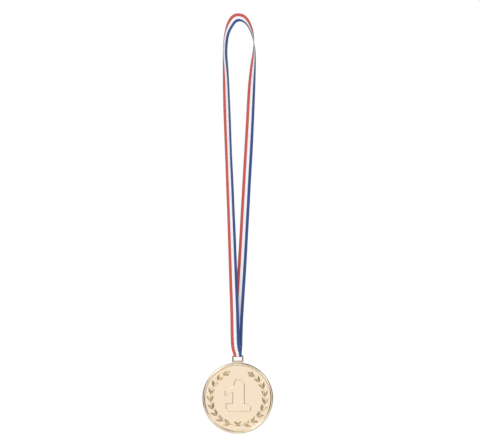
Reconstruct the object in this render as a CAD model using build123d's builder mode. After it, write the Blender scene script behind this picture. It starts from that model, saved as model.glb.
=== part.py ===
from build123d import *
import math
import os

# An award medal on a neck ribbon, hanging from the top of its ribbon loop. Millimetres, +Z up.
# The origin is the point that the loop hangs from. The medal's front faces -Y and +X is to its right.

# Ribbon.
ribbon_width = 9.0
ribbon_thickness = 0.45
fold_side_gap = 0.05  # beside the ribbon, drawn in to go through the ring
draw_in_length = 8.0  # over this length it goes back to its full width
section_spacing = 9.0  # the most between two sections of the ribbon
section_bend = 8.0  # degrees, the most between two sections in a bend
fold_steps = 12  # sections round the ring
fold_clearance = 0.125  # between the ring's wire and the ribbon folded round it
ply_gap = 0.05  # between the two plies of the lap seam

# Wire ring.
ring_wire = 1.4
ring_width = 9.7  # between the centres of its legs
ring_height = 6.0  # between the centres of its two bars
ring_inner_radius = 0.2  # inside its corners

# Disc.
disc_diameter = 70.0
disc_thickness = 4.6
rim_width = 2.7
rim_rise = 0.7  # the rim's crest above the field
rim_edge_radius = 1.1
front_crest = 0.3  # flat at the top of the rim
back_crest = 1.0
face_wall = 1.1
side_wall = 1.6
spigot_end_gap = 0.05
spigot_wall = 0.9
shell_clearance = 0.05  # spigot in the front shell, and pins in their bosses

# Pins that join the two shells.
pin_circle_radius = 21.0
pin_count = 4
pin_radius = 1.0
boss_wall = 1.0
pin_end_gap = 0.15
boss_end_gap = 0.1

# Lug, split down the middle, that holds the ring's lower bar.
lug_side_gap = 0.15  # between the lug and the ring's corners
lug_wall = 0.5
lug_edge_gap = 0.1  # between the bar and the disc's edge
lug_foot = 1.5  # how far the lug reaches down over the rim
lug_ramp = 0.5
bore_clearance = 0.05

# Relief on the front.
numeral_rise = 0.6
numeral_bevel = 0.4
wreath_rise = 0.45
wreath_margin = 6.0  # from the rim to the branches
leaf_length = 6.4
leaf_width = 2.1
leaf_splay = 27.0  # degrees, between a leaf and its branch
leaf_pairs = 9
leaf_pitch = 16.3  # degrees, round the disc
first_leaves = (-77.0, -72.4)  # on the right branch and the left one
knot_width = 3.4
knot_height = 2.4

# Lap seam.
seam_length = 12.0
seam_centre_z = -323.5
seam_margin = 0.3  # from the ribbon's edges to the stitches
thread = 0.3
thread_inner_radius = 0.06  # inside a stitch's corners
stitch_gap = 0.05
stitches_in_row = 5
row_pitch = 5.0

# Worked out from the values above.
ring_top_z = -330.2
ring_low_z = ring_top_z - ring_height
ring_corner_radius = ring_wire / 2 + ring_inner_radius
ring_straight = ring_width - 2 * ring_corner_radius
fold_width = ring_straight - 2 * fold_side_gap
fold_radius = ring_wire / 2 + fold_clearance + ribbon_thickness / 2
ply_pitch = ribbon_thickness + ply_gap
stitch_pitch = (fold_width - 2 * seam_margin + stitch_gap) / stitches_in_row
stitch_length = stitch_pitch - stitch_gap - thread
stitch_corner_radius = thread / 2 + thread_inner_radius
lug_width = ring_straight - 2 * lug_side_gap
bore_radius = ring_wire / 2 + bore_clearance
lug_radius = bore_radius + lug_wall
lug_lift = ring_wire / 2 + lug_edge_gap
disc_radius = disc_diameter / 2
disc_z = ring_low_z - lug_lift - disc_radius
half_thickness = disc_thickness / 2
field_depth = half_thickness - rim_rise
inner_depth = field_depth - face_wall
spigot_height = inner_depth - spigot_end_gap
wreath_radius = disc_radius - rim_width - wreath_margin

face_plane = Plane(origin=(0, 0, disc_z), x_dir=(1, 0, 0), z_dir=(0, -1, 0))
disc_axis = Axis((0, 0, disc_z), (0, -1, 0))

# The ribbon's route: up the front strand from the ring, over the top and down the back strand to the
# seam. Each point has the turn of the ribbon there, in degrees: 0 with its red edge on the outside of
# the loop, 90 with that edge to the back and 180 with it on the inside.
seam_y = fold_radius + ply_pitch
route = [
    ((0.0, -fold_radius, ring_top_z), 0),
    ((-0.15, -fold_radius, -328.2), 0),
    ((-1.4, -1.1, -324.6), 0),
    ((-2.4, -1.25, -318.0), 0),
    ((-2.9, -1.5, -307.0), 3),
    ((-3.5, -1.85, -290.0), 6),
    ((-4.8, -2.2, -259.0), 14),
    ((-7.3, -2.0, -192.0), 35),
    ((-9.8, -1.2, -125.0), 42),
    ((-11.2, -0.6, -82.0), 38),
    ((-12.4, 0.0, -52.0), 57),
    ((-13.2, 0.0, -30.0), 68),
    ((-11.7, 0.0, -12.0), 60),
    ((-7.0, 0.0, -0.6), 36),
    ((-2.3, 0.0, 4.7), 17),
    ((4.4, 0.0, 4.7), 30),
    ((9.7, 0.0, -1.2), 55),
    ((13.6, 0.0, -12.2), 71),
    ((15.2, 0.0, -27.0), 103),
    ((14.5, 0.3, -43.0), 125),
    ((12.9, 0.8, -65.0), 143),
    ((11.3, 1.3, -103.0), 153),
    ((7.6, 2.0, -165.0), 159),
    ((4.1, 2.3, -230.0), 163),
    ((1.9, 2.2, -271.0), 166),
    ((0.7, 1.9, -296.0), 172),
    ((0.2, 1.7, -312.0), 179),
    ((0.0, seam_y, -320.5), 180),
    ((0.0, seam_y, -328.0), 180),
]
route_points = [Vector(point) for point, turn in route]
route_turns = [turn for point, turn in route]

# Each corner of the route gets the largest arc that its two runs allow.
runs = [(b - a).length for a, b in zip(route_points, route_points[1:])]
bends = [
    math.radians((b - a).get_angle(c - b))
    for a, b, c in zip(route_points, route_points[1:], route_points[2:])
]
reaches = [0.45 * min(pair) for pair in zip(runs, runs[1:])]
corner_radii = [reach / math.tan(bend / 2) for reach, bend in zip(reaches, bends)]
print("corner radii:", [round(radius, 1) for radius in corner_radii])


# ---------------------------------------------------------------- neck ribbon


def route_stations():
    """Distances along the filleted route where a section goes, and the ribbon's turn at each."""
    lead_ins = [0.0] + reaches
    lead_outs = reaches + [0.0]
    straights = [run - a - b for run, a, b in zip(runs, lead_ins, lead_outs)]
    arcs = [radius * bend for radius, bend in zip(corner_radii, bends)] + [0.0]
    stations = []
    knots = [0.0]
    here = 0.0
    for straight, arc, bend in zip(straights, arcs, bends + [0.0]):
        steps = max(1, math.ceil(straight / section_spacing))
        stations += [here + straight * step / steps for step in range(steps)]
        here += straight
        steps = max(1, math.ceil(math.degrees(bend) / section_bend))
        stations += [here + arc * step / steps for step in range(steps)]
        knots.append(here + arc / 2)
        here += arc
    stations.append(here)
    knots[-1] = here
    turns = []
    for station in stations:
        index = sum(1 for knot in knots[1:-1] if knot <= station)
        share = (station - knots[index]) / (knots[index + 1] - knots[index])
        turns.append(route_turns[index] + share * (route_turns[index + 1] - route_turns[index]))
    unique = []
    for station, turn in zip(stations, turns):
        if not unique or station - unique[-1][0] > 0.01:
            unique.append((station, turn))
    return unique, here


def strap_plane(position, tangent, turn):
    """Section plane of the ribbon, with its width along x, turned by that many degrees."""
    outward = tangent.cross(Vector(0, 1, 0)).normalized()
    backward = outward.cross(tangent)
    angle = math.radians(turn)
    width = outward * math.cos(angle) + backward * math.sin(angle)
    return Plane(origin=position, x_dir=width, z_dir=tangent)


def width_at(from_fold):
    """The ribbon's width at a distance from the fold: drawn in at the ring, full further on."""
    share = min(1.0, max(0.0, from_fold / draw_in_length))
    return fold_width + (ribbon_width - fold_width) * share * share * (3 - 2 * share)


with BuildLine() as route_line:
    FilletPolyline(*route_points, radius=corner_radii)
route_wire = route_line.wires()[0]
stations, route_length = route_stations()

# The inner ply of the seam comes down to the ring, and the fold takes it round the ring's upper bar.
inner_ply_end = Plane(
    origin=(0, fold_radius, ring_top_z + seam_length), x_dir=(-1, 0, 0), z_dir=(0, 0, -1)
)
sections = [(inner_ply_end, fold_width)]
for step in range(fold_steps):
    angle = math.pi * step / fold_steps
    fold_point = (0, fold_radius * math.cos(angle), ring_top_z - fold_radius * math.sin(angle))
    fold_plane = Plane(
        origin=fold_point, x_dir=(-1, 0, 0), z_dir=(0, -math.sin(angle), -math.cos(angle))
    )
    sections.append((fold_plane, fold_width))
for station, turn in stations:
    place = route_wire.position_at(station, PositionMode.LENGTH)
    heading = route_wire.tangent_at(station, PositionMode.LENGTH)
    nearest_end = min(station, route_length - station)
    sections.append((strap_plane(place, heading, turn), width_at(nearest_end)))

with BuildPart() as neck_ribbon:
    for plane, width in sections:
        with BuildSketch(plane):
            Rectangle(width, ribbon_thickness)
    loft(ruled=True)

cord_length = seam_length + math.pi * fold_radius + route_wire.length
print("route length", round(route_wire.length, 1), "ribbon length", round(cord_length, 1))
print(
    "ribbon volume", round(neck_ribbon.part.volume, 1),
    "section times length", round(ribbon_width * ribbon_thickness * cord_length, 1),
)

# ---------------------------------------------------------------- seam stitches

seam_centre_y = fold_radius + ply_pitch / 2
loop_depth = ribbon_thickness + ply_pitch + thread
stitch_plane = Plane(origin=(0, seam_centre_y, seam_centre_z), x_dir=(1, 0, 0), z_dir=(0, 0, 1))

with BuildPart() as stitch:
    with BuildLine(Plane.XY) as stitch_line:
        FilletPolyline(
            (-stitch_length / 2, -loop_depth / 2),
            (stitch_length / 2, -loop_depth / 2),
            (stitch_length / 2, loop_depth / 2),
            (-stitch_length / 2, loop_depth / 2),
            radius=stitch_corner_radius,
            close=True,
        )
    with BuildSketch(Plane(origin=stitch_line.line @ 0, z_dir=stitch_line.line % 0)):
        Circle(thread / 2)
    sweep()

with BuildPart() as seam_stitches:
    for row in (-0.5, 0.5):
        with Locations(stitch_plane.offset(row * row_pitch)):
            with GridLocations(stitch_pitch, 1, stitches_in_row, 1):
                add(stitch.part)

# ---------------------------------------------------------------- wire ring

ring_plane = Plane(origin=(0, 0, (ring_top_z + ring_low_z) / 2), x_dir=(1, 0, 0), z_dir=(0, -1, 0))
with BuildPart() as ribbon_ring:
    with BuildLine(ring_plane) as ring_line:
        FilletPolyline(
            (-ring_width / 2, -ring_height / 2),
            (ring_width / 2, -ring_height / 2),
            (ring_width / 2, ring_height / 2),
            (-ring_width / 2, ring_height / 2),
            radius=ring_corner_radius,
            close=True,
        )
    with BuildSketch(Plane(origin=ring_line.line @ 0, z_dir=ring_line.line % 0)):
        Circle(ring_wire / 2)
    sweep()

# ---------------------------------------------------------------- disc shells


def outer_lines(crest):
    """Rim and field of one shell: up the edge, over the crest and down to the field's centre."""
    crest_start = disc_radius - rim_edge_radius
    crest_end = crest_start - crest
    Line((disc_radius, 0), (disc_radius, half_thickness - rim_edge_radius))
    RadiusArc(
        (disc_radius, half_thickness - rim_edge_radius),
        (crest_start, half_thickness),
        -rim_edge_radius,
    )
    Line((crest_start, half_thickness), (crest_end, half_thickness))
    TangentArc(
        (crest_end, half_thickness), (disc_radius - rim_width, field_depth), tangent=(-1, 0)
    )
    Line((disc_radius - rim_width, field_depth), (0, field_depth))


def lug_half(side):
    """Section of the lug on one side of the parting plane: half a barrel on a tapered foot."""
    foot_z = disc_z + disc_radius - lug_foot
    ramp_z = disc_z + disc_radius - lug_ramp
    keep_height = 4 * (lug_foot + lug_lift + lug_radius)
    with BuildSketch(Plane.YZ.offset(-lug_width / 2)) as section:
        with Locations((0, ring_low_z)):
            Circle(lug_radius)
        with BuildLine():
            Polyline(
                (0, foot_z),
                (side * half_thickness, foot_z),
                (side * half_thickness, ramp_z),
                (side * lug_radius, ring_low_z),
                (0, ring_low_z),
                close=True,
            )
        make_face()
        with Locations((0, ring_low_z)):
            Circle(bore_radius, mode=Mode.SUBTRACT)
        with Locations((side * half_thickness, ring_low_z)):
            Rectangle(disc_thickness, keep_height, mode=Mode.INTERSECT)
    return section.sketch


def leaf_places():
    """Centre and heading of each laurel leaf, a pair at each step up each of the two branches."""
    places = []
    for mirror, first_leaf in zip((1, -1), first_leaves):
        for pair in range(leaf_pairs):
            round_disc = first_leaf + pair * leaf_pitch
            root = Vector(wreath_radius, 0).rotate(Axis.Z, round_disc)
            for splay in (-leaf_splay, leaf_splay):
                heading = round_disc + 90 + splay
                centre = root + Vector(leaf_length / 2, 0).rotate(Axis.Z, heading)
                turned = heading if mirror > 0 else 180 - heading
                places.append(Location((mirror * centre.X, centre.Y, 0), (0, 0, turned)))
    return places


numeral_outline = [
    (-2.5, 18.5),
    (2.9, 18.5),
    (6.7, 14.3),
    (6.7, -5.2),
    (10.2, -5.2),
    (12.9, -8.1),
    (12.9, -12.0),
    (11.6, -13.2),
    (-8.6, -13.2),
    (-11.8, -10.4),
    (-11.8, -4.9),
    (-5.1, -4.9),
    (-5.1, 5.6),
    (-12.8, 1.9),
    (-12.8, 7.6),
    (-4.4, 12.5),
]

with BuildPart() as front_shell:
    with BuildSketch(Plane(origin=(0, 0, disc_z), x_dir=(1, 0, 0), z_dir=(0, 0, -1))):
        with BuildLine():
            outer_lines(front_crest)
            Polyline(
                (0, field_depth),
                (0, inner_depth),
                (disc_radius - side_wall, inner_depth),
                (disc_radius - side_wall, 0),
                (disc_radius, 0),
            )
        make_face()
    revolve(axis=disc_axis)
    extrude(lug_half(-1), amount=lug_width)
    with BuildSketch(face_plane.offset(inner_depth)):
        with PolarLocations(pin_circle_radius, pin_count, start_angle=45):
            Circle(pin_radius)
    extrude(amount=-(2 * inner_depth - pin_end_gap))
    with BuildSketch(face_plane.offset(field_depth)):
        with Locations(*leaf_places()):
            Ellipse(leaf_length / 2, leaf_width / 2)
        with Locations((0, -wreath_radius)):
            Ellipse(knot_width / 2, knot_height / 2)
    extrude(amount=wreath_rise)
    with BuildSketch(face_plane.offset(field_depth)):
        with BuildLine():
            Polyline(*numeral_outline, close=True)
        make_face()
    extrude(amount=numeral_rise)
    numeral_top = front_shell.faces(Select.LAST).filter_by(Axis.Y).sort_by(Axis.Y)[0]
    chamfer(numeral_top.edges(), length=numeral_bevel)

with BuildPart() as back_shell:
    spigot_outer = disc_radius - side_wall - shell_clearance
    spigot_inner = spigot_outer - spigot_wall
    with BuildSketch(Plane(origin=(0, 0, disc_z), x_dir=(1, 0, 0), z_dir=(0, 0, 1))):
        with BuildLine():
            outer_lines(back_crest)
            Polyline(
                (0, field_depth),
                (0, inner_depth),
                (spigot_inner, inner_depth),
                (spigot_inner, -spigot_height),
                (spigot_outer, -spigot_height),
                (spigot_outer, 0),
                (disc_radius, 0),
            )
        make_face()
    revolve(axis=disc_axis)
    extrude(lug_half(1), amount=lug_width)
    with BuildSketch(face_plane.offset(-inner_depth)):
        with PolarLocations(pin_circle_radius, pin_count, start_angle=45):
            Circle(pin_radius + shell_clearance + boss_wall)
            Circle(pin_radius + shell_clearance, mode=Mode.SUBTRACT)
    extrude(amount=2 * inner_depth - boss_end_gap)

# ---------------------------------------------------------------- files

pieces = {
    "neck_ribbon": neck_ribbon,
    "seam_stitches": seam_stitches,
    "ribbon_ring": ribbon_ring,
    "front_shell": front_shell,
    "back_shell": back_shell,
}
os.makedirs("parts", exist_ok=True)
for label, piece in pieces.items():
    piece.part.label = label
    export_step(piece.part, f"parts/{label}.step")
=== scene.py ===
import math

import bpy
import numpy as np
from bpy.props import FloatProperty, FloatVectorProperty, IntProperty, PointerProperty
from bpy.types import Operator, Panel, PropertyGroup
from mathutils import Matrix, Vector


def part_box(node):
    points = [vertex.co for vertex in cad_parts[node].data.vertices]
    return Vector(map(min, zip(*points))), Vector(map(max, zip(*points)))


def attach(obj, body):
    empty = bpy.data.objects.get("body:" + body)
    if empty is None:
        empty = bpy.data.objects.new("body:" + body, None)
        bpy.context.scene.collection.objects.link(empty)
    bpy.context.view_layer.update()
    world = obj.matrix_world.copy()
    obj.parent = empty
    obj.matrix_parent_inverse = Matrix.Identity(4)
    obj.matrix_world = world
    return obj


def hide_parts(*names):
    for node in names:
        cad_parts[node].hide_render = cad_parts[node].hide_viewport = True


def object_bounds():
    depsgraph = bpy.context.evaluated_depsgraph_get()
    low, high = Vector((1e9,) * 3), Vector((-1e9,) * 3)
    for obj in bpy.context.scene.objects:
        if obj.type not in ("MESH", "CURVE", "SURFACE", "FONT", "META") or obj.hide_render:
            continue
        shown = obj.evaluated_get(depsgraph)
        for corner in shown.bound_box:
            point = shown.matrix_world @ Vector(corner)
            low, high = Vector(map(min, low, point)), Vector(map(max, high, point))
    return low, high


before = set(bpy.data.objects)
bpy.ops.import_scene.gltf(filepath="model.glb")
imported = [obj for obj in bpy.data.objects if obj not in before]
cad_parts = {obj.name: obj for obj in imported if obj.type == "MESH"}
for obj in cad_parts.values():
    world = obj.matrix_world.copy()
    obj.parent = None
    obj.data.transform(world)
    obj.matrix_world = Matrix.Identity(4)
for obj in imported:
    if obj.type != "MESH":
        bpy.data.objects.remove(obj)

bl_info = {
    "name": "Award Medal",
    "version": (1, 0, 0),
    "blender": (4, 5, 0),
    "location": "View3D > Sidebar > Medal",
    "description": "An award medal with a laurel wreath, on a woven neck ribbon",
    "category": "Object",
}

MM = 0.001

# ---------------------------------------------------------------- measures from the frame

CAD_LOW, CAD_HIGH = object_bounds()
FRONT_LOW, FRONT_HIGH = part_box("front_shell")
RING_LOW, RING_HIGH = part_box("ribbon_ring")

DISC_RADIUS = (FRONT_HIGH.x - FRONT_LOW.x) / 2
DISC_Z = FRONT_LOW.z + DISC_RADIUS
HALF_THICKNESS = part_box("back_shell")[1].y
WIRE = RING_HIGH.y - RING_LOW.y
RING_TOP_Z = RING_HIGH.z - WIRE / 2
RING_LOW_Z = RING_LOW.z + WIRE / 2
LUG_RADIUS = FRONT_HIGH.z - RING_LOW_Z

# ---------------------------------------------------------------- the ribbon's route

FOLD_RADIUS = 1.05 * MM
SEAM_LENGTH = 12.0 * MM

# Up the front strand from the ring, over the top and down the back strand to the seam, in metres. Each
# point has the ribbon's turn in degrees, which is 0 with its red edge on the outside of the loop, 90 with
# that edge to the back and 180 with it on the inside, and its curl: how many degrees less than the middle
# the red edge is turned, and how many more the blue one.
ROUTE = [
    ((0.0, -0.00105, -0.3302), 0, 0),
    ((-0.00015, -0.00105, -0.3282), 0, 0),
    ((-0.0014, -0.0011, -0.3246), 0, 0),
    ((-0.0024, -0.00125, -0.3180), 0, 2),
    ((-0.0027, -0.0015, -0.3070), 6, 5),
    ((-0.0030, -0.00185, -0.2900), 16, 8),
    ((-0.0042, -0.0022, -0.2590), 19, 14),
    ((-0.0066, -0.0020, -0.1920), 33, 12),
    ((-0.0094, -0.0012, -0.1250), 38, 18),
    ((-0.0110, -0.0006, -0.0820), 36, 27),
    ((-0.0119, 0.0, -0.0520), 50, 14),
    ((-0.0127, 0.0, -0.0300), 63, -30),
    ((-0.0114, 0.0, -0.0120), 54, -30),
    ((-0.0070, 0.0, -0.0005), 32, 4),
    ((-0.0023, 0.0, 0.0049), 9, 20),
    ((0.0046, 0.0, 0.0049), 21, 30),
    ((0.0107, 0.0, -0.0008), 53, 24),
    ((0.0151, 0.0, -0.0118), 71, 10),
    ((0.0164, 0.0, -0.0270), 103, -16),
    ((0.0151, 0.0003, -0.0430), 130, -22),
    ((0.0135, 0.0008, -0.0650), 147, -18),
    ((0.0119, 0.0013, -0.1030), 155, -12),
    ((0.0084, 0.0020, -0.1650), 160, -8),
    ((0.0049, 0.0023, -0.2300), 163, -6),
    ((0.0023, 0.0022, -0.2710), 166, -4),
    ((0.0007, 0.0019, -0.2960), 172, -2),
    ((0.0002, 0.0017, -0.3120), 179, 0),
    ((0.0, 0.00155, -0.3205), 180, 0),
    ((0.0, 0.00155, -0.3280), 180, 0),
]

# ---------------------------------------------------------------- sizes and colours


def length_property(name, description, millimetres):
    """A length, with its default given in millimetres."""
    return FloatProperty(name=name, description=description, default=millimetres * MM, unit="LENGTH")


def angle_property(name, description, degrees):
    """An angle, with its default given in degrees."""
    return FloatProperty(name=name, description=description, default=math.radians(degrees), unit="ROTATION")


def colour_property(name, description, colour):
    """A colour, with its default given as linear red, green and blue."""
    return FloatVectorProperty(name=name, description=description, default=colour, size=3, subtype="COLOR")


class RibbonSettings(PropertyGroup):
    width: length_property("Width", "Width of the ribbon", 9.0)
    fold_width: length_property("Width at Ring", "Width drawn in by the ring", 7.8)
    draw_in: length_property("Draw-in Length", "Length over which it goes back to its full width", 8.0)
    thickness: length_property("Thickness", "Thickness of the woven band", 0.42)
    length: length_property("Free Length", "From the ring, over the top and back to the seam", 680.0)
    rib_pitch: length_property("Rib Pitch", "Distance between two weft ribs", 0.62)
    thread: length_property("Thread", "Thickness of the seam's thread", 0.3)
    red: colour_property("Red", "Red stripe", (0.56, 0.096, 0.086))
    white: colour_property("White", "White stripe", (0.92, 0.905, 0.925))
    blue: colour_property("Blue", "Blue stripe", (0.031, 0.077, 0.250))


class DiscSettings(PropertyGroup):
    rim_width: length_property("Rim Width", "Width of the raised rim", 2.7)
    rim_rise: length_property("Rim Rise", "Height of the rim above the field", 0.7)
    edge_radius: length_property("Edge Radius", "Rounding of the outer edge", 1.35)
    dish: length_property("Dish", "How far the field's centre sinks", 0.12)
    face_wall: length_property("Face Wall", "Thickness of each face", 1.1)
    side_wall: length_property("Side Wall", "Thickness of the side", 1.6)
    lug_width: length_property("Lug Width", "Length of the split barrel", 7.6)
    segments: IntProperty(name="Segments", description="Steps round the disc", default=288, min=48)
    gold: colour_property("Gold", "Metallised gold", (0.915, 0.75, 0.56))
    wire_gold: colour_property("Wire Gold", "Plated wire", (0.50, 0.37, 0.19))
    # Painted shade and reflection: the darker gold put on steep parts and in the hollows of the relief.
    painted_shade_gold: colour_property("Deep Gold", "Gold in the hollows of the relief", (0.46, 0.34, 0.085))


class ReliefSettings(PropertyGroup):
    numeral_rise: length_property("Numeral Rise", "Height of the numeral", 0.6)
    numeral_bevel: length_property("Numeral Bevel", "Width of its sloping edge", 0.45)
    wreath_radius: length_property("Wreath Radius", "Radius of the two branches", 26.9)
    leaf_length: length_property("Leaf Length", "Length of a leaf", 7.2)
    leaf_width: length_property("Leaf Width", "Greatest width of a leaf", 2.9)
    leaf_rise: length_property("Leaf Rise", "Height of a leaf's two ridges", 0.66)
    leaf_pairs: IntProperty(name="Leaf Pairs", description="Pairs on each branch", default=9, min=1)
    leaf_pitch: angle_property("Leaf Pitch", "Angle between pairs", 16.3)
    leaf_splay: angle_property("Leaf Splay", "Angle to the branch", 27)


class StageSettings(PropertyGroup):
    lens: FloatProperty(name="Lens", description="Focal length in millimetres", default=100.0)
    view_width: length_property("View Width", "Width of the view at the medal", 475.2)
    floor_drop: length_property("Floor Drop", "The floor below the medal", 320.0)


SETTINGS = {
    "medal_ribbon": RibbonSettings,
    "medal_disc": DiscSettings,
    "medal_relief": ReliefSettings,
    "medal_stage": StageSettings,
}

# ---------------------------------------------------------------- meshes


def new_piece(name, points, faces, body, smooth=True):
    """A mesh object at the origin from an array of points and a list of faces, riding on a body."""
    mesh = bpy.data.meshes.new(name)
    mesh.from_pydata(np.asarray(points, float).tolist(), [], [list(face) for face in faces])
    mesh.update()
    mesh.polygons.foreach_set("use_smooth", np.full(len(mesh.polygons), smooth))
    piece = bpy.data.objects.new(name, mesh)
    bpy.context.scene.collection.objects.link(piece)
    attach(piece, body)
    return piece


def grid_faces(rows, columns, wrap_rows=False, wrap_columns=True):
    """Quads of a grid of rows by columns whose last row or column may join its first."""
    row = np.arange(rows if wrap_rows else rows - 1)
    column = np.arange(columns if wrap_columns else columns - 1)
    r, c = np.meshgrid(row, column, indexing="ij")
    r2 = (r + 1) % rows
    c2 = (c + 1) % columns
    quads = np.stack([r * columns + c, r * columns + c2, r2 * columns + c2, r2 * columns + c], -1)
    return quads.reshape(-1, 4).tolist()


def joined(parts):
    """One array of points and one list of faces from several (points, faces)."""
    points = []
    faces = []
    offset = 0
    for part_points, part_faces in parts:
        points.append(np.asarray(part_points, float))
        faces += [[index + offset for index in face] for face in part_faces]
        offset += len(part_points)
    return np.concatenate(points), faces


def add_attribute(piece, name, values):
    """A number for each vertex, which a material reads by name."""
    attribute = piece.data.attributes.new(name, "FLOAT", "POINT")
    attribute.data.foreach_set("value", np.asarray(values, np.float32))


def arc(centre, radius, start, end, steps):
    """Points of an arc: centre plus radius times (cos a, sin a), for steps angles from start to end."""
    angle = np.radians(np.linspace(start, end, steps))
    return np.stack([centre[0] + radius * np.cos(angle), centre[1] + radius * np.sin(angle)], -1)


def circle(steps):
    """Angles evenly round a circle, from 0."""
    return np.linspace(0, math.tau, steps, endpoint=False)


def path_sides(path):
    """Unit vectors to the right of a closed flat path: at each point, the heading from the point before
    it to the point after it, turned a quarter."""
    ahead = np.roll(path, -1, 0) - np.roll(path, 1, 0)
    ahead /= np.linalg.norm(ahead, axis=1)[:, None]
    return np.stack([ahead[:, 1], -ahead[:, 0]], -1)


def end_faces(rows, columns):
    """The faces that close the first and the last row of a grid that is closed across."""
    last = (rows - 1) * columns
    return [list(range(columns))[::-1], list(range(last, last + columns))]


def turned_round(faces):
    """The same faces, facing the other way."""
    return [face[::-1] for face in faces]


def face_point(x, z, depth, side=-1):
    """Disc coordinates to the row frame: x right, z up from the disc's centre, depth out of the face."""
    return np.stack([x, side * depth, DISC_Z + z], -1)


# ---------------------------------------------------------------- ribbon


def route_points():
    """The line of a quadratic NURBS with the route as its control points, read from a bare curve."""
    curve = bpy.data.curves.new("route", "CURVE")
    curve.dimensions = "3D"
    curve.resolution_u = 28
    spline = curve.splines.new("NURBS")
    spline.points.add(len(ROUTE) - 1)
    for target, point in zip(spline.points, ROUTE):
        target.co = (*point[0], 1.0)
    spline.order_u = 3
    spline.use_endpoint_u = True
    carrier = bpy.data.objects.new("route", curve)
    bpy.context.scene.collection.objects.link(carrier)
    bpy.context.view_layer.update()
    line = bpy.data.meshes.new_from_object(carrier)
    points = np.empty(len(line.vertices) * 3)
    line.vertices.foreach_get("co", points)
    bpy.data.objects.remove(carrier)
    bpy.data.curves.remove(curve)
    bpy.data.meshes.remove(line)
    return points.reshape(-1, 3)


def along_route(values, count):
    """Degrees given at the route's points, in radians at count even steps of the spline: each control
    point's value stands at the mean of its two inner knots, and a moving mean smooths the line between."""
    last = len(ROUTE) - 2
    places = np.clip(np.arange(len(ROUTE)) - 0.5, 0, last)
    line = np.interp(np.linspace(0, last, count), places, values)
    reach = 14
    padded = np.pad(line, reach, mode="edge")
    window = np.hanning(2 * reach + 1)
    return np.radians(np.convolve(padded, window / window.sum(), mode="valid"))


def ribbon_section(settings):
    """Outline of the band, once round: a flat band whose two woven edges are a little thicker, as
    x from -1 to 1 across it and y in metres out of its middle."""
    steps = 29
    selvedge_at, selvedge_reach, selvedge_rise, edge_share = 0.95, 0.035, 0.22, 0.45
    across = np.concatenate([np.linspace(-1, 1, steps), np.linspace(1, -1, steps)])
    upper = np.repeat([1.0, -1.0], steps)
    bead = 1 + selvedge_rise * np.exp(-(((np.abs(across) - selvedge_at) / selvedge_reach) ** 2))
    closing = np.where(np.abs(across) > 0.999, edge_share, 1.0)
    return across, upper * settings.thickness / 2 * bead * closing


def ribbon_frames():
    """Places, two directions across, turn, curl and width along the whole ribbon: the inner ply of the
    seam straight down the back of the ring, half a circle round its upper bar, and the route's spline.
    Outward is the cross product of the heading with +y, and backward is that of outward and heading."""
    settings = bpy.context.scene.medal_ribbon
    route = route_points()
    ply_z = np.linspace(RING_TOP_Z + SEAM_LENGTH, RING_TOP_Z, 13, endpoint=False)
    ply = np.stack([np.zeros_like(ply_z), np.full_like(ply_z, FOLD_RADIUS), ply_z], -1)
    angle = np.linspace(0, math.pi, 18, endpoint=False)
    fold = np.stack(
        [np.zeros_like(angle), FOLD_RADIUS * np.cos(angle), RING_TOP_Z - FOLD_RADIUS * np.sin(angle)], -1
    )
    places = np.concatenate([ply, fold, route])
    lead = len(ply) + len(fold)
    ahead = np.gradient(places, axis=0)
    ahead /= np.linalg.norm(ahead, axis=1)[:, None]
    outward = np.cross(ahead, (0.0, 1.0, 0.0))
    outward[:lead] = (-1.0, 0.0, 0.0)
    outward /= np.linalg.norm(outward, axis=1)[:, None]
    backward = np.cross(outward, ahead)
    still = np.zeros(lead)
    turn = np.concatenate([still, along_route([point[1] for point in ROUTE], len(route))])
    curl = np.concatenate([still, along_route([point[2] for point in ROUTE], len(route))])
    steps = np.linalg.norm(np.diff(places, axis=0), axis=1)
    along = np.concatenate([[0], np.cumsum(steps)])
    near_ring = np.minimum(np.maximum(along - along[lead], 0), along[-1] - along)
    share = np.clip(near_ring / settings.draw_in, 0, 1)
    width = settings.fold_width + (settings.width - settings.fold_width) * share**2 * (3 - 2 * share)
    return places, outward, backward, turn, curl, width, along, route


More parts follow.
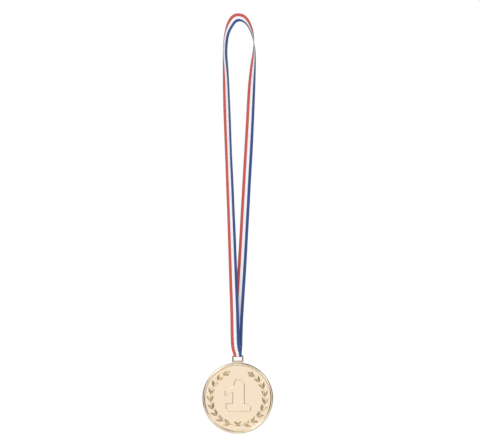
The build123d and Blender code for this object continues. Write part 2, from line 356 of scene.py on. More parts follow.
def ribbon_piece():
    """The woven band. Its section is a shallow arc: at x from -1 to 1 across it, the direction is turn
    minus curl times x, so the place is the chord of that arc from its middle, and the arc is moved so
    that its two edges lie evenly about the route. A slow ripple lifts one edge and lowers the other."""
    settings = bpy.context.scene.medal_ribbon
    places, outward, backward, turn, curl, width, along, route = ribbon_frames()
    across, out = ribbon_section(settings)
    turn, curl, half = turn[:, None], curl[:, None], width[:, None] / 2
    bend = curl * across[None, :] / 2
    chord = half * across[None, :] * np.sinc(bend / math.pi)
    shift = half * np.sinc(curl / 2 / math.pi) * np.sin(curl / 2)
    facing = turn - curl * across[None, :]
    ripple_rise, slow_wave, quick_wave = 0.12 * MM, 0.031, 0.0127
    still_start, still_end, fade = 0.03, 0.02, 0.05
    ripple = ripple_rise * np.sin(along / slow_wave + 1.3) * np.sin(along / quick_wave)
    ripple *= np.clip((along - still_start) / fade, 0, 1)
    ripple *= np.clip((along[-1] - still_end - along) / fade, 0, 1)
    lift = ripple[:, None] * across[None, :] + out[None, :]
    reach_out = chord * np.cos(turn - bend) - shift * np.sin(turn) + lift * np.sin(facing)
    reach_back = chord * np.sin(turn - bend) + shift * np.cos(turn) - lift * np.cos(facing)
    points = (
        places[:, None, :]
        + outward[:, None, :] * reach_out[..., None]
        + backward[:, None, :] * reach_back[..., None]
    )
    rows, columns = points.shape[:2]
    faces = turned_round(grid_faces(rows, columns))
    half_columns = columns // 2
    for start, flip in ((0, False), ((rows - 1) * columns, True)):
        for step in range(half_columns - 1):
            cap = [start + step, start + step + 1, start + columns - 2 - step, start + columns - 1 - step]
            faces.append(cap[::-1] if flip else cap)
    piece = new_piece("neck_ribbon_woven", points.reshape(-1, 3), faces, "ribbon")
    uv_across = np.tile((across + 1) / 2, rows)
    uv_along = np.repeat(along / settings.width, columns)
    corner = np.empty(len(piece.data.loops), int)
    piece.data.loops.foreach_get("vertex_index", corner)
    uv = np.stack([uv_across[corner], uv_along[corner]], -1)
    piece.data.uv_layers.new(name="weave").data.foreach_set("uv", uv.ravel())
    return piece, route


def thread_loops():
    """The seam's stitches: two-ply thread, whose section is a circle with two lobes that turn once
    every two thicknesses, carried round a rounded rectangle through both plies."""
    settings = bpy.context.scene.medal_ribbon
    low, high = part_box("seam_stitches")
    size = settings.thread
    count = 5
    half_x = 0.55 * MM
    half_y = (high.y - low.y - size) / 2
    centre_y = (high.y + low.y) / 2
    columns = np.linspace(low.x + half_x + size / 2, high.x - half_x - size / 2, count)
    rows = (low.z + size / 2, high.z - size / 2)
    corner = 0.21 * MM
    squareness = 1.8
    angle = circle(64)
    path_x = np.clip(np.cos(angle) * squareness, -1, 1) * (half_x - corner) + corner * np.cos(angle)
    path_y = np.clip(np.sin(angle) * squareness, -1, 1) * (half_y - corner) + corner * np.sin(angle)
    path = np.stack([path_x, path_y], -1)
    around = circle(10)
    steps = np.linalg.norm(np.roll(path, -1, 0) - path, axis=1)
    travelled = np.concatenate([[0], np.cumsum(steps)[:-1]])
    turns = round(steps.sum() / (2 * size))
    twist = math.tau * turns * travelled / steps.sum()
    lobes = 0.12
    radius = size / 2 * (1 - lobes + lobes * np.cos(2 * (around[None, :] - twist[:, None])))
    plan = path[:, None, :] + path_sides(path)[:, None, :] * (radius * np.cos(around))[..., None]
    stitch = np.concatenate([plan, (radius * np.sin(around))[..., None]], -1).reshape(-1, 3)
    faces = turned_round(grid_faces(len(path), len(around), wrap_rows=True))
    points, faces = joined([(stitch + (x, centre_y, z), faces) for z in rows for x in columns])
    return new_piece("seam_thread", points, faces, "ribbon")


# ---------------------------------------------------------------- ring


def ring_piece():
    """The wire ring: a circle carried round a rectangle with rounded corners."""
    half_width = (RING_HIGH.x - RING_LOW.x - WIRE) / 2
    half_height = (RING_TOP_Z - RING_LOW_Z) / 2
    corner = 0.9 * MM
    inner_x, inner_z = half_width - corner, half_height - corner
    bar = np.linspace(-inner_x, inner_x, 16)[1:-1]
    leg = np.linspace(-inner_z, inner_z, 10)[1:-1]
    path = np.concatenate([
        np.stack([bar, np.full_like(bar, -half_height)], -1),
        arc((inner_x, -inner_z), corner, -90, 0, 11),
        np.stack([np.full_like(leg, half_width), leg], -1),
        arc((inner_x, inner_z), corner, 0, 90, 11),
        np.stack([bar[::-1], np.full_like(bar, half_height)], -1),
        arc((-inner_x, inner_z), corner, 90, 180, 11),
        np.stack([np.full_like(leg, -half_width), leg[::-1]], -1),
        arc((-inner_x, -inner_z), corner, 180, 270, 11),
    ])
    around = circle(24)
    out = WIRE / 2 * np.cos(around)
    across = WIRE / 2 * np.sin(around)
    plan = path[:, None, :] + path_sides(path)[:, None, :] * out[None, :, None]
    middle_z = (RING_TOP_Z + RING_LOW_Z) / 2
    depth = np.broadcast_to(across[None, :], plan.shape[:2])
    points = np.stack([plan[..., 0], depth, plan[..., 1] + middle_z], -1)
    faces = grid_faces(len(path), len(around), wrap_rows=True)
    return new_piece("ring_wire", points.reshape(-1, 3), faces, "ring")


# ---------------------------------------------------------------- disc


def shell_profile(settings, crest):
    """Half section of one shell as (radius, depth) from the axis outside to the axis inside: a
    slightly dished field, a fine groove, the rim's rounded bead, the edge, the side, and the inside."""
    radius = DISC_RADIUS
    field = HALF_THICKNESS - settings.rim_rise
    inner = field - settings.face_wall
    foot = radius - settings.rim_width
    crest_start = radius - settings.edge_radius
    crest_end = crest_start - crest
    reach = np.linspace(0, foot - 0.5 * MM, 30)[1:]
    face = np.stack([reach, field - settings.dish * (1 - (reach / foot) ** 2) ** 2], -1)
    groove = foot + np.array((-0.36, -0.24, -0.12, 0.0)) * MM
    groove_depth = field - np.array((0.01, 0.04, 0.04, 0.0)) * MM
    rise = np.linspace(0, 1, 12)[1:]
    climb = np.stack([
        foot + (crest_end - foot) * rise,
        field + settings.rim_rise * np.sin(rise * math.pi / 2) ** 2,
    ], -1)
    edge_centre = (crest_start, HALF_THICKNESS - settings.edge_radius)
    edge = arc(edge_centre, settings.edge_radius, 90, 0, 14)
    seam = 0.12 * MM
    side = np.array([(radius, 0.5 * edge_centre[1]), (radius, seam), (radius - 0.6 * seam, 0.0)])
    hollow = radius - settings.side_wall
    inside = np.array([(hollow, 0.0), (hollow, inner), (hollow * 0.6, inner)])
    profile = np.concatenate([face, np.stack([groove, groove_depth], -1), climb, edge, side, inside])
    return profile, field, inner


def turned_shell(name, profile, centre_depths, side, settings):
    """A profile turned round the disc's axis: radius times (cos a, sin a) in the face's plane, with
    one point at each pole. Each vertex stores its edge wear, and how steep the profile is there, where
    the material paints darker gold as painted shade and reflection."""
    angle = circle(settings.segments)
    r, d = profile[:, 0], profile[:, 1]
    x = r[:, None] * np.cos(angle)[None, :]
    z = r[:, None] * np.sin(angle)[None, :]
    rings = face_point(x, z, np.broadcast_to(d[:, None], x.shape), side).reshape(-1, 3)
    poles = face_point(np.zeros(2), np.zeros(2), np.array(centre_depths), side)
    points = np.concatenate([rings, poles])
    faces = grid_faces(len(profile), settings.segments)
    first, last = len(rings), len(rings) + 1
    step = np.arange(settings.segments)
    after = (step + 1) % settings.segments
    end = (len(profile) - 1) * settings.segments
    faces += np.stack([np.full_like(step, first), after, step], -1).tolist()
    faces += np.stack([np.full_like(step, last), end + step, end + after], -1).tolist()
    piece = new_piece(name, points, turned_round(faces) if side < 0 else faces, "medal")
    worn_depth = 0.25 * MM
    crest = np.clip((d - (HALF_THICKNESS - worn_depth)) / worn_depth, 0, 1)
    fall, run = np.abs(np.gradient(d)), np.abs(np.gradient(r))
    # The steep share is painted shade and reflection: the material darkens the gold there through the
    # hollow attribute.
    steep = 0.6 * fall / (fall + run)
    for label, values in (("wear", crest), ("hollow", steep)):
        add_attribute(piece, label, np.concatenate([np.repeat(values, settings.segments), [0, 0]]))
    return piece


def lug_piece(name, side, settings):
    """Half of the split barrel that holds the ring: half a round bore and barrel on a foot that
    widens on to the rim, as an outline carried across, with its two ends drawn in for a soft edge."""
    foot_z = DISC_RADIUS - 1.5 * MM
    ramp_z = DISC_RADIUS - 0.5 * MM
    axis_z = RING_LOW_Z - DISC_Z
    bore = WIRE / 2 + 0.05 * MM
    outer = arc((0, axis_z), LUG_RADIUS, 90, 8, 14)
    foot_top = HALF_THICKNESS - 0.02 * MM
    shoulder = np.array([
        (LUG_RADIUS * 1.02, axis_z - 0.35 * MM),
        (LUG_RADIUS * 1.25, axis_z - 0.8 * MM),
        (foot_top - 0.25 * MM, ramp_z - 0.05 * MM),
        (foot_top, ramp_z - 0.4 * MM),
        (foot_top, foot_z),
        (0, foot_z),
    ])
    inner = arc((0, axis_z), bore, -90, 90, 15)
    outline = np.concatenate([outer, shoulder, inner])
    half = settings.lug_width / 2
    soft = 0.22 * MM
    stations = [(-half, soft), (-half + soft * 0.3, soft * 0.3), (-half + soft, 0.0)]
    stations += [(x, 0.0) for x in np.linspace(-half + soft, half - soft, 9)[1:-1]]
    stations += [(half - soft, 0.0), (half - soft * 0.3, soft * 0.3), (half, soft)]
    middle = np.array((LUG_RADIUS * 0.6, axis_z - 0.6 * MM))
    away = outline - middle
    away /= np.linalg.norm(away, axis=1)[:, None]
    count = len(outline)
    seen = np.arange(count)[:, None] < len(outer) + 4
    rows = []
    for x, pull in stations:
        drawn = outline - away * np.where(seen, pull, 0.0)
        rows.append(face_point(np.full(count, x), drawn[:, 1], drawn[:, 0], side))
    points = np.stack(rows).reshape(-1, 3)
    faces = grid_faces(len(rows), count) + end_faces(len(rows), count)
    piece = new_piece(name, points, turned_round(faces) if side > 0 else faces, "medal")
    add_attribute(piece, "wear", np.full(len(points), 0.15))
    add_attribute(piece, "hollow", np.zeros(len(points)))
    return piece


# ---------------------------------------------------------------- relief

NUMERAL = np.array([
    (-2.5, 18.5), (2.9, 18.5), (6.7, 14.3), (6.7, -5.2), (10.2, -5.2), (12.9, -8.1), (12.9, -12.0),
    (11.6, -13.2), (-8.6, -13.2), (-11.8, -10.4), (-11.8, -4.9), (-5.1, -4.9), (-5.1, 5.6),
    (-12.8, 1.9), (-12.8, 7.6), (-4.4, 12.5),
]) * MM


def inset(outline, distance):
    """The outline of a polygon that runs clockwise, moved inwards by a distance: each corner goes to
    where its two edges cross once both are moved."""
    edge = np.roll(outline, -1, 0) - outline
    edge /= np.linalg.norm(edge, axis=1)[:, None]
    inward = np.stack([edge[:, 1], -edge[:, 0]], -1)
    before = np.roll(inward, 1, 0)
    mitre = inward + before
    mitre /= (mitre * inward).sum(1)[:, None]
    return outline + mitre * distance


def numeral_piece():
    """The block numeral: its outline at the field, drawn in over a sloping edge to a flat top."""
    disc = bpy.context.scene.medal_disc
    relief = bpy.context.scene.medal_relief
    field = HALF_THICKNESS - disc.rim_rise
    sunk = 0.3 * MM
    soft = 0.05 * MM
    levels = [
        (0.0, field - sunk),
        (0.0, field + 0.02 * MM),
        (relief.numeral_bevel, field + relief.numeral_rise - soft * 0.4),
        (relief.numeral_bevel + soft, field + relief.numeral_rise),
    ]
    rings = []
    for distance, depth in levels:
        line = inset(NUMERAL, distance)
        rings.append(face_point(line[:, 0], line[:, 1], np.full(len(line), depth)))
    count = len(NUMERAL)
    points = np.concatenate(rings)
    faces = turned_round(grid_faces(len(levels), count) + end_faces(len(levels), count))
    piece = new_piece("numeral", points, faces, "medal", smooth=False)
    add_attribute(piece, "wear", np.repeat([0.0, 0.0, 0.8, 0.5], count))
    # Painted shade: darker gold at the numeral's foot, fading up its sloping edge.
    add_attribute(piece, "hollow", np.repeat([0.6, 0.6, 0.0, 0.0], count))
    return piece


def leaf_shape(length, width, rise, sunk):
    """One laurel leaf along +x from its root. Its half width is width/2 times b(s), where b is
    sin(pi s**0.75) times (1 - 0.15 s), and its height is rise times the lesser of 1 and 1.5 b(s), times
    0.16 + 0.84 sin(pi |v|): two round ridges with a pressed midrib between them. It starts 0.02 of its
    length from the root, so that the leaves on one root share no edge."""
    rows, columns = 15, 13
    root_gap, midrib = 0.02, 0.16
    s = np.linspace(0, 1, rows)
    v = np.linspace(-1, 1, columns)
    body = np.sin(math.pi * s**0.75) * (1 - 0.15 * s)
    body[0], body[-1] = 0.12, 0.02
    x = np.broadcast_to((s[:, None] + root_gap) * length, (rows, columns))
    y = body[:, None] * v[None, :] * width / 2
    ridge = midrib + (1 - midrib) * np.sin(math.pi * np.abs(v))
    z = rise * np.minimum(1, body[:, None] * 1.5) * ridge[None, :]
    top = np.stack([x, y, z], -1).reshape(-1, 3)
    index = np.arange(rows * columns).reshape(rows, columns)
    border = np.concatenate([index[0], index[1:, -1], index[-1, -2::-1], index[-2:0:-1, 0]]).tolist()
    rim = top[border].copy()
    rim[:, 2] = -sunk
    start, count = len(top), len(border)
    walls = [
        [border[step], border[(step + 1) % count], start + (step + 1) % count, start + step]
        for step in range(count)
    ]
    over = turned_round(grid_faces(rows, columns, wrap_columns=False))
    faces = over + walls + [list(range(start, start + count))]
    height = np.concatenate([top[:, 2] / rise, np.zeros(count)])
    return np.concatenate([top, rim]), faces, height


def placed(shape, x, y, turn=0.0, mirror=1, size=(1, 1, 1), level=1.0):
    """A shape, as its points, faces and heights, scaled by size, turned about z, moved in the face's
    plane and, for mirror -1, reflected left to right. Its heights are multiplied by level."""
    points, faces, height = shape
    points = points * size
    c, s = math.cos(turn), math.sin(turn)
    x = mirror * (x + points[:, 0] * c - points[:, 1] * s)
    y = y + points[:, 0] * s + points[:, 1] * c
    return np.stack([x, y, points[:, 2]], -1), turned_round(faces) if mirror < 0 else faces, height * level


def dome(radius, rise, sunk):
    """A berry: rings of radius r cos(a) at height rise times sin(a), from the field to a top point."""
    count = 12
    angle = circle(count)
    levels = [(radius, -sunk)]
    levels += [(radius * math.cos(a), rise * math.sin(a)) for a in np.radians((0, 20, 42, 64))]
    rings = [np.stack([r * np.cos(angle), r * np.sin(angle), np.full(count, z)], -1) for r, z in levels]
    points = np.concatenate(rings + [np.array([[0, 0, rise]])])
    last = (len(levels) - 1) * count
    faces = grid_faces(len(levels), count)
    faces += [[last + step, last + (step + 1) % count, last + count] for step in range(count)]
    faces.append(list(range(count))[::-1])
    return points, faces, np.clip(points[:, 2] / rise, 0, 1)


def stem_shape(radius, start, end, thick, sunk):
    """A branch: a half-round section carried along an arc of the wreath, thinner towards its tip."""
    steps = 60
    angle = np.linspace(start, end, steps)
    taper = thick * (1 - 0.55 * np.linspace(0, 1, steps))
    section = np.radians(np.linspace(180, 0, 7))
    out = np.concatenate([np.cos(section), [1.0, -1.0]])
    up = np.concatenate([np.sin(section), [-1.0, -1.0]])
    r = radius + taper[:, None] * out[None, :]
    z = np.where(up < 0, -sunk, taper[:, None] * np.maximum(up, 0)[None, :])
    points = np.stack([r * np.cos(angle)[:, None], r * np.sin(angle)[:, None], z], -1).reshape(-1, 3)
    faces = grid_faces(steps, len(out)) + end_faces(steps, len(out))
    return points, faces, np.clip(points[:, 2] / thick, 0, 1)


def wreath_piece():
    """The laurel wreath: on each side a branch with pairs of leaves that open upwards, a leaf at its
    tip and small berries on its upper half, and at the foot the knot and tails of its tie."""
    disc = bpy.context.scene.medal_disc
    relief = bpy.context.scene.medal_relief
    field = HALF_THICKNESS - disc.rim_rise
    sunk = 0.25 * MM
    radius = relief.wreath_radius
    leaf = leaf_shape(relief.leaf_length, relief.leaf_width, relief.leaf_rise, sunk)
    berry = dome(0.5 * MM, 0.42 * MM, sunk)
    first_berry, tip_shrink = 4, 0.22
    parts = []
    for mirror, first in ((1, math.radians(-77)), (-1, math.radians(-72.4))):
        last = first + (relief.leaf_pairs - 1) * relief.leaf_pitch
        stem = stem_shape(radius, first - math.radians(9), last + math.radians(5), 0.34 * MM, sunk)
        parts.append(placed(stem, 0, 0, 0, mirror))
        for pair in range(relief.leaf_pairs):
            angle = first + pair * relief.leaf_pitch
            size = 1.0 - tip_shrink * (pair / relief.leaf_pairs) ** 2
            x, y = radius * math.cos(angle), radius * math.sin(angle)
            for splay in (-relief.leaf_splay, relief.leaf_splay):
                heading = angle + math.pi / 2 + splay
                parts.append(placed(leaf, x, y, heading, mirror, (size, size, 1)))
            if pair >= first_berry:
                away = angle + 0.52 * relief.leaf_pitch
                reach = radius + (2.35 if pair % 2 else -2.3) * MM
                parts.append(placed(berry, reach * math.cos(away), reach * math.sin(away), 0, mirror))
        tip = last + math.radians(4)
        x, y = radius * math.cos(tip), radius * math.sin(tip)
        parts.append(placed(leaf, x, y, tip + math.pi / 2, mirror, (0.85, 0.8, 1)))
    knot_y = -radius + 1.3 * MM
    bow = leaf_shape(4.3 * MM, 2.7 * MM, 0.64 * MM, sunk)
    for turn, size in ((34, 1.0), (146, 1.0), (-50, 0.7), (-130, 0.7)):
        parts.append(placed(bow, 0, knot_y, math.radians(turn), size=(size, size, 1), level=0.75))
    parts.append(placed(dome(0.95 * MM, 0.68 * MM, sunk), 0, knot_y, level=0.7))
    points, faces = joined([part[:2] for part in parts])
    height = np.concatenate([part[2] for part in parts])
    on_face = face_point(points[:, 0], points[:, 1], field + points[:, 2])
    piece = new_piece("laurel_wreath", on_face, faces, "medal")
    piece.data.set_sharp_from_angle(angle=math.radians(48))
    add_attribute(piece, "wear", np.clip(height * 2 - 1.2, 0, 1))
    # Painted shade and reflection: darker gold on the low parts of each leaf, in its midrib and at its
    # foot.
    add_attribute(piece, "hollow", np.clip(1.30 - height * 1.15, 0, 1))
    return piece


# ---------------------------------------------------------------- shader groups


def feed(tree, node, inputs):
    """Feed a node's inputs by label or number, each with a socket to follow or a value of its own."""
    for label, value in inputs.items():
        if isinstance(value, bpy.types.NodeSocket):
            tree.links.new(value, node.inputs[label])
        else:
            node.inputs[label].default_value = value


def add_node(tree, kind, inputs=None, **options):
    """A node of a kind, with its options set and then its inputs fed."""
    node = tree.nodes.new("ShaderNode" + kind)
    for option, value in options.items():
        setattr(node, option, value)
    feed(tree, node, inputs or {})
    return node


def new_group(name, inputs, outputs):
    """An empty shader group with the named sockets, and its two end nodes."""
    group = bpy.data.node_groups.new(name, "ShaderNodeTree")
    for label, value in inputs.items():
        socket = group.interface.new_socket(label, in_out="INPUT", socket_type="NodeSocketFloat")
        socket.default_value = value
    for label in outputs:
        group.interface.new_socket(label, in_out="OUTPUT", socket_type="NodeSocketFloat")
    return group, group.nodes.new("NodeGroupInput"), group.nodes.new("NodeGroupOutput")


def math_node(tree, operation, *values):
    """A Math node whose inputs are numbers or sockets. Returns its result socket."""
    return add_node(tree, "Math", dict(enumerate(values)), operation=operation).outputs[0]


def range_node(tree, value, low, high, to_low, to_high):
    """A clamped Map Range node. Returns its result socket."""
    inputs = {"Value": value, "From Min": low, "From Max": high, "To Min": to_low, "To Max": to_high}
    return add_node(tree, "MapRange", inputs).outputs["Result"]


def noise_node(tree, scale, detail, vector, rough=0.5):
    """A Noise Texture on the given coordinates. Returns its value socket."""
    inputs = {"Scale": scale, "Detail": detail, "Roughness": rough, "Vector": vector}
    return add_node(tree, "TexNoise", inputs).outputs["Fac"]


def polish_group():
    """Marks of polishing and handling: soft cloudiness, fine hairlines at two angles and a slow
    waviness of the moulded surface. Its height is in millimetres, for a Bump node."""
    tree, start, end = new_group("polish marks", {"Cloud": 1.0, "Hairline": 1.0}, ("Marks", "Height"))
    place = add_node(tree, "TexCoord").outputs["Object"]
    stretch = (22, 22, 2600)
    hairs = []
    for turn, seed in ((0.5, 0.0), (-0.8, 0.3)):
        inputs = {"Vector": place, "Location": (seed, 0, 0), "Rotation": (0, turn, 0), "Scale": stretch}
        hair = noise_node(tree, 1.0, 2, add_node(tree, "Mapping", inputs).outputs["Vector"])
        hairs.append(range_node(tree, hair, 0.56, 0.76, 0, 1))
    hairline = math_node(tree, "MULTIPLY", math_node(tree, "MAXIMUM", *hairs), start.outputs["Hairline"])
    clouds = range_node(tree, noise_node(tree, 60, 4, place), 0.35, 0.75, 0, 1)
    clouds = math_node(tree, "MULTIPLY", clouds, start.outputs["Cloud"])
    marks = math_node(tree, "ADD", math_node(tree, "MULTIPLY", hairline, 0.5), clouds)
    waves = math_node(tree, "MULTIPLY", noise_node(tree, 140, 2, place), 0.010)
    scratches = math_node(tree, "MULTIPLY", hairline, -0.0006)
    feed(tree, end, {"Marks": marks, "Height": math_node(tree, "ADD", waves, scratches)})
    return tree


def yarn_group():
    """Ribbed weave on a UV map: rounded weft ribs across the band, the warp yarns that pass over them
    in turn, and loose fuzz. Gives a height in millimetres, and a painted shade of 0 in the gaps to 1."""
    inputs = {"U": 0.0, "V": 0.0, "Ribs": 14.0, "Yarns": 22.0}
    tree, start, end = new_group("yarn weave", inputs, ("Shade", "Height", "Fuzz"))
    along = math_node(tree, "MULTIPLY", start.outputs["V"], start.outputs["Ribs"])
    across = math_node(tree, "MULTIPLY", start.outputs["U"], start.outputs["Yarns"])
    place = add_node(tree, "CombineXYZ", {0: across, 1: along}).outputs[0]
    wobble = math_node(tree, "MULTIPLY", noise_node(tree, 0.7, 2, place), 0.35)
    phase = math_node(tree, "MODULO", math_node(tree, "FLOOR", across), 2.0)
    phase = math_node(tree, "MULTIPLY", phase, 0.5)
    rib = math_node(tree, "ADD", math_node(tree, "ADD", along, wobble), phase)
    rib = math_node(tree, "SINE", math_node(tree, "MULTIPLY", rib, math.tau))
    rib = math_node(tree, "POWER", math_node(tree, "MULTIPLY_ADD", rib, 0.5, 0.5), 0.7)
    yarn = math_node(tree, "MULTIPLY", math_node(tree, "FRACT", across), math.pi)
    yarn = math_node(tree, "MULTIPLY_ADD", math_node(tree, "SINE", yarn), 0.6, 0.4)
    cloth = math_node(tree, "MULTIPLY", rib, yarn)
    fuzz = noise_node(tree, 2.6, 3, place, 0.7)
    height = math_node(tree, "MULTIPLY_ADD", cloth, 0.07, math_node(tree, "MULTIPLY", fuzz, 0.02))
    feed(tree, end, {"Shade": cloth, "Height": height, "Fuzz": fuzz})
    return tree


# ---------------------------------------------------------------- materials


def new_material(name):
    """A material with only a Principled BSDF and an output. Returns it, its tree and the shader."""
    material = bpy.data.materials.new(name)
    material.use_nodes = True
    tree = material.node_tree
    return material, tree, tree.nodes["Principled BSDF"]


def bump_node(tree, height, distance):
    """A Bump node on a height in units of distance metres. Returns its normal socket."""
    inputs = {"Strength": 1.0, "Distance": distance, "Height": height}
    return add_node(tree, "Bump", inputs).outputs["Normal"]


def mix_colour(tree, share, first, second, blend="MIX"):
    """A Mix node between two colours, each a tuple or a socket. Returns its colour socket."""
    colours = [
        value if isinstance(value, bpy.types.NodeSocket) else (*value, 1.0) for value in (first, second)
    ]
    inputs = {"Factor": share, "A": colours[0], "B": colours[1]}
    return add_node(tree, "Mix", inputs, data_type="RGBA", blend_type=blend).outputs["Result"]


def attribute_node(tree, name):
    """The value of a vertex attribute."""
    return add_node(tree, "Attribute", attribute_name=name).outputs["Fac"]


def gold_material(name, gold, roughness, coat, cloud, hairline):
    """Metallised gold under clear lacquer: painted shade and reflection make it darker in the hollows of
    the relief and on steep parts, and it is paler and a little rougher where handling has worn the crests."""
    material, tree, shader = new_material(name)
    painted_shade_colour = bpy.context.scene.medal_disc.painted_shade_gold
    group = bpy.data.node_groups.get("polish marks") or polish_group()
    marks = add_node(tree, "Group", {"Cloud": cloud, "Hairline": hairline}, node_tree=group).outputs
    # Painted shade and reflection: darker gold where the hollow attribute is high.
    hollow = range_node(tree, attribute_node(tree, "hollow"), 0.0, 1.0, 0.0, 0.85)
    wear = attribute_node(tree, "wear")
    pale = tuple(channel + (0.93 - channel) * 0.35 for channel in gold)
    worn = math_node(tree, "MULTIPLY", wear, range_node(tree, marks["Marks"], 0.2, 1.0, 0.1, 0.6))
    spread = math_node(tree, "MULTIPLY_ADD", marks["Marks"], roughness * 0.5, roughness)
    feed(tree, shader, {
        "Base Color": mix_colour(tree, worn, mix_colour(tree, hollow, gold, painted_shade_colour), pale),
        "Metallic": 1.0,
        "Roughness": math_node(tree, "MULTIPLY_ADD", wear, roughness * 0.4, spread),
        "Coat Weight": coat,
        "Coat Roughness": 0.06,
        "Normal": bump_node(tree, marks["Height"], MM),
    })
    return material


def ribbon_material(group):
    """Woven stripes across the band, about a third each, on its UV map: each stripe's edge is a little
    fuzzy, painted shade darkens the gaps between the ribs, and the polyester has a soft sheen."""
    settings = bpy.context.scene.medal_ribbon
    material, tree, shader = new_material("woven stripes")
    uv = add_node(tree, "UVMap", uv_map="weave").outputs["UV"]
    u, v = add_node(tree, "SeparateXYZ", {0: uv}).outputs[:2]
    ribs = settings.width / settings.rib_pitch
    inputs = {"U": u, "V": v, "Ribs": ribs, "Yarns": 24.0}
    weave = add_node(tree, "Group", inputs, node_tree=group).outputs
    place = math_node(tree, "ADD", u, math_node(tree, "MULTIPLY_ADD", weave["Fuzz"], 0.02, -0.01))
    red_from, blue_to, blur = 0.655, 0.345, 0.006
    red_share = range_node(tree, place, red_from - blur, red_from + blur, 0, 1)
    blue_share = range_node(tree, place, blue_to - blur, blue_to + blur, 1, 0)
    stripes = mix_colour(tree, red_share, settings.white, settings.red)
    stripes = mix_colour(tree, blue_share, stripes, settings.blue)
    # Painted shade: the stripes are darkened in the gaps between ribs and yarns.
    shade = math_node(tree, "MULTIPLY_ADD", weave["Shade"], 0.34, 0.74)
    painted_gap_shade = add_node(tree, "CombineColor", dict.fromkeys(("Red", "Green", "Blue"), shade)).outputs[0]
    feed(tree, shader, {
        "Base Color": mix_colour(tree, 1.0, stripes, painted_gap_shade, "MULTIPLY"),
        "Roughness": range_node(tree, weave["Fuzz"], 0.3, 0.7, 0.55, 0.8),
        "Sheen Weight": 0.25,
        "Sheen Roughness": 0.5,
        "Specular IOR Level": 0.3,
        "Normal": bump_node(tree, weave["Height"], MM),
    })
    return material


def thread_material():
    """White spun thread: fine fuzz in its colour and surface."""
    material, tree, shader = new_material("seam thread")
    fuzz = noise_node(tree, 9000, 3, add_node(tree, "TexCoord").outputs["Object"], 0.7)
    feed(tree, shader, {
        "Base Color": mix_colour(tree, fuzz, (0.78, 0.76, 0.74), (0.93, 0.92, 0.9)),
        "Roughness": 0.7,
        "Sheen Weight": 0.2,
        "Normal": bump_node(tree, fuzz, 0.03 * MM),
    })
    return material


# ---------------------------------------------------------------- stage


def place_camera(settings):
    """A level long lens in front of the medal, with the whole of it in view."""
    camera = bpy.data.cameras.new("camera")
    camera.lens = settings.lens
    camera.clip_start = 0.01
    camera.clip_end = 20
    carrier = bpy.data.objects.new("camera", camera)
    distance = settings.view_width * camera.lens / camera.sensor_width
    aside, above = 0.0022, 0.0018
    middle = Vector((aside, 0, (CAD_LOW.z + CAD_HIGH.z) / 2 + above))
    carrier.location = middle + Vector((0, -distance, 0))
    carrier.rotation_euler = (math.radians(90), 0, 0)
    bpy.context.scene.collection.objects.link(carrier)
    bpy.context.scene.camera = carrier


def place_lamp(name, place, target, size, watts, in_reflections=False):
    """A square soft lamp at a place, turned to a target. It shows in polished surfaces if asked to."""
    light = bpy.data.lights.new(name, "AREA")
    light.shape = "RECTANGLE"
    light.size = light.size_y = size
    light.energy = watts
    lamp = bpy.data.objects.new(name, light)
    lamp.location = place
    lamp.rotation_euler = (Vector(target) - Vector(place)).to_track_quat("-Z", "Y").to_euler()
    lamp.visible_glossy = in_reflections
    bpy.context.scene.collection.objects.link(lamp)


def lobe(tree, direction, way, inner, outer):
    """1 within inner degrees of a way, falling smoothly to 0 at outer degrees."""
    inputs = {0: direction, 1: Vector(way).normalized()}
    along = add_node(tree, "VectorMath", inputs, operation="DOT_PRODUCT").outputs["Value"]
    low, high = math.cos(math.radians(outer)), math.cos(math.radians(inner))
    inputs = {"Value": along, "From Min": low, "From Max": high}
    return add_node(tree, "MapRange", inputs, interpolation_type="SMOOTHSTEP").outputs["Result"]


# Soft bright patches round the medal: the way to each, how many degrees from it the patch is full and
# past which it is gone, and its level.
STUDIO_PATCHES = (
    ((0, -1, 0), 22, 44, 0.90),
    ((-0.70, -0.05, 0.70), 18, 38, 0.95),
    ((0.66, -0.27, 0.60), 10, 28, 0.70),
    ((0.68, -0.05, -0.70), 18, 38, 1.50),
    ((-0.26, -0.2, 0.97), 16, 36, 0.80),
    ((0.30, -0.1, -1), 16, 34, 0.35),
    ((0.45, 0.8, -0.45), 28, 52, 0.62),
    ((-0.35, 0.9, 0.1), 24, 48, 0.40),
)


def light_world():
    """A white studio. The camera itself sees plain white. Surfaces see a dim glow with the soft bright
    patches in front, above, below and behind, and the dark between them gives a polished edge its
    dark line."""
    dim_glow, brightest = 0.11, 1.9
    world = bpy.data.worlds.new("studio")
    bpy.context.scene.world = world
    world.use_nodes = True
    tree = world.node_tree
    tree.nodes.clear()
    output = add_node(tree, "OutputWorld")
    direction = add_node(tree, "TexCoord").outputs["Generated"]
    glow = dim_glow
    for way, inner, outer, level in STUDIO_PATCHES:
        glow = math_node(tree, "MULTIPLY_ADD", lobe(tree, direction, way, inner, outer), level, glow)
    glow = math_node(tree, "MINIMUM", glow, brightest)
    camera_ray = add_node(tree, "LightPath").outputs["Is Camera Ray"]
    strength = add_node(tree, "Mix", {"Factor": camera_ray, "A": glow, "B": 1.0}, data_type="FLOAT")
    inputs = {"Color": (1, 1, 1, 1), "Strength": strength.outputs["Result"]}
    feed(tree, output, {"Surface": add_node(tree, "Background", inputs).outputs[0]})


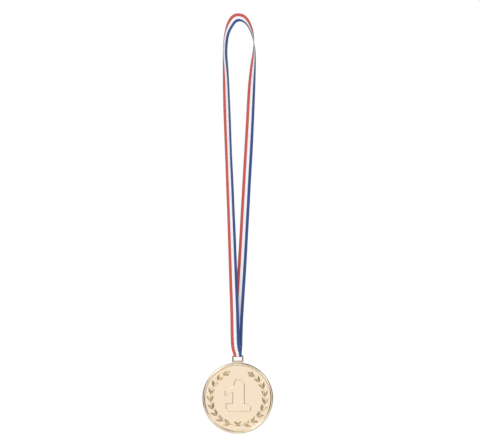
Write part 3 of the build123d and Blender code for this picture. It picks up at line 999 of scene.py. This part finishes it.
def floor_piece(settings):
    """A round pale floor below the medal: one flat circle of quads and a centre point."""
    count, radii = 96, (0.3, 0.7, 1.0)
    angle = circle(count)
    rings = [np.stack([r * np.cos(angle), r * np.sin(angle), np.zeros(count)], -1) for r in radii]
    points = np.concatenate(rings + [np.zeros((1, 3))]) + (0, 0, CAD_LOW.z - settings.floor_drop)
    faces = turned_round(grid_faces(len(radii), count))
    faces += [[step, (step + 1) % count, len(radii) * count] for step in range(count)]
    mesh = bpy.data.meshes.new("floor")
    mesh.from_pydata(points.tolist(), [], faces)
    floor = bpy.data.objects.new("floor", mesh)
    bpy.context.scene.collection.objects.link(floor)
    material, tree, shader = new_material("pale floor")
    feed(tree, shader, {"Base Color": (0.9, 0.9, 0.9, 1), "Roughness": 0.85})
    mesh.materials.append(material)


# ---------------------------------------------------------------- operators


class MEDAL_OT_stage(Operator):
    """Set up the camera, the soft lamps, the white studio and the floor"""

    bl_idname = "medal.stage"
    bl_label = "Stage"

    def execute(self, context):
        settings = context.scene.medal_stage
        context.scene.view_settings.view_transform = "Standard"
        place_camera(settings)
        light_world()
        middle = (0, 0, (CAD_LOW.z + CAD_HIGH.z) / 2)
        disc = (0, 0, DISC_Z)
        place_lamp("key", (-0.15, -1.3, 0.45), middle, size=0.9, watts=6)
        place_lamp("fill", (0.5, -1.2, -0.7), middle, size=0.9, watts=6)
        place_lamp("glint_left", (-0.65, -0.91, 0.28), disc, size=0.50, watts=2.6, in_reflections=True)
        place_lamp("glint_right", (0.75, -0.95, 0.02), disc, size=0.34, watts=1.1, in_reflections=True)
        floor_piece(settings)
        return {"FINISHED"}


class MEDAL_OT_ribbon(Operator):
    """Weave the neck ribbon along its route and fold it round the ring"""

    bl_idname = "medal.ribbon"
    bl_label = "Neck Ribbon"

    def execute(self, context):
        piece, route = ribbon_piece()
        piece.data.materials.append(ribbon_material(yarn_group()))
        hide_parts("neck_ribbon")
        thread = thread_loops()
        thread.data.materials.append(thread_material())
        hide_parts("seam_stitches")
        return {"FINISHED"}


class MEDAL_OT_ring(Operator):
    """Make the wire ring that the ribbon passes through"""

    bl_idname = "medal.ring"
    bl_label = "Ribbon Ring"

    def execute(self, context):
        disc = context.scene.medal_disc
        piece = ring_piece()
        add_attribute(piece, "wear", np.full(len(piece.data.vertices), 0.2))
        add_attribute(piece, "hollow", np.zeros(len(piece.data.vertices)))
        material = gold_material(
            "gold wire", disc.wire_gold, roughness=0.16, coat=0.0, cloud=0.5, hairline=0.6
        )
        piece.data.materials.append(material)
        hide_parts("ribbon_ring")
        return {"FINISHED"}


class MEDAL_OT_front(Operator):
    """Make the front of the disc with its half of the lug, the numeral and the wreath"""

    bl_idname = "medal.front"
    bl_label = "Front"

    def execute(self, context):
        disc = context.scene.medal_disc
        material = gold_material(
            "polished gold", disc.gold, roughness=0.13, coat=0.5, cloud=0.5, hairline=0.5
        )
        profile, field, inner = shell_profile(disc, 0.2 * MM)
        shell = turned_shell("front_face", profile, (field - disc.dish, inner), -1, disc)
        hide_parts("front_shell")
        lug = lug_piece("front_lug", -1, disc)
        for piece in (shell, lug, numeral_piece(), wreath_piece()):
            piece.data.materials.append(material)
        return {"FINISHED"}


class MEDAL_OT_back(Operator):
    """Make the plain back of the disc with its half of the lug"""

    bl_idname = "medal.back"
    bl_label = "Back"

    def execute(self, context):
        disc = context.scene.medal_disc
        material = gold_material("satin gold", disc.gold, roughness=0.26, coat=0.3, cloud=0.8, hairline=1.0)
        profile, field, inner = shell_profile(disc, 1.0 * MM)
        shell = turned_shell("back_face", profile, (field - disc.dish, inner), 1, disc)
        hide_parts("back_shell")
        lug = lug_piece("back_lug", 1, disc)
        for piece in (shell, lug):
            piece.data.materials.append(material)
        return {"FINISHED"}


OPERATORS = (MEDAL_OT_stage, MEDAL_OT_ribbon, MEDAL_OT_ring, MEDAL_OT_front, MEDAL_OT_back)


class MEDAL_PT_sidebar(Panel):
    """Lists the steps that build the medal"""

    bl_label = "Award Medal"
    bl_idname = "MEDAL_PT_sidebar"
    bl_space_type = "VIEW_3D"
    bl_region_type = "UI"
    bl_category = "Medal"

    def draw(self, context):
        for operator in OPERATORS:
            self.layout.operator(operator.bl_idname)


CLASSES = (*SETTINGS.values(), *OPERATORS, MEDAL_PT_sidebar)


def register():
    for item in CLASSES:
        bpy.utils.register_class(item)
    for name, kind in SETTINGS.items():
        setattr(bpy.types.Scene, name, PointerProperty(type=kind))


def unregister():
    for name in SETTINGS:
        delattr(bpy.types.Scene, name)
    for item in reversed(CLASSES):
        bpy.utils.unregister_class(item)


def main():
    register()
    bpy.ops.medal.stage()
    bpy.ops.medal.ribbon()
    bpy.ops.medal.ring()
    bpy.ops.medal.front()
    bpy.ops.medal.back()


if __name__ == "__main__":
    main()
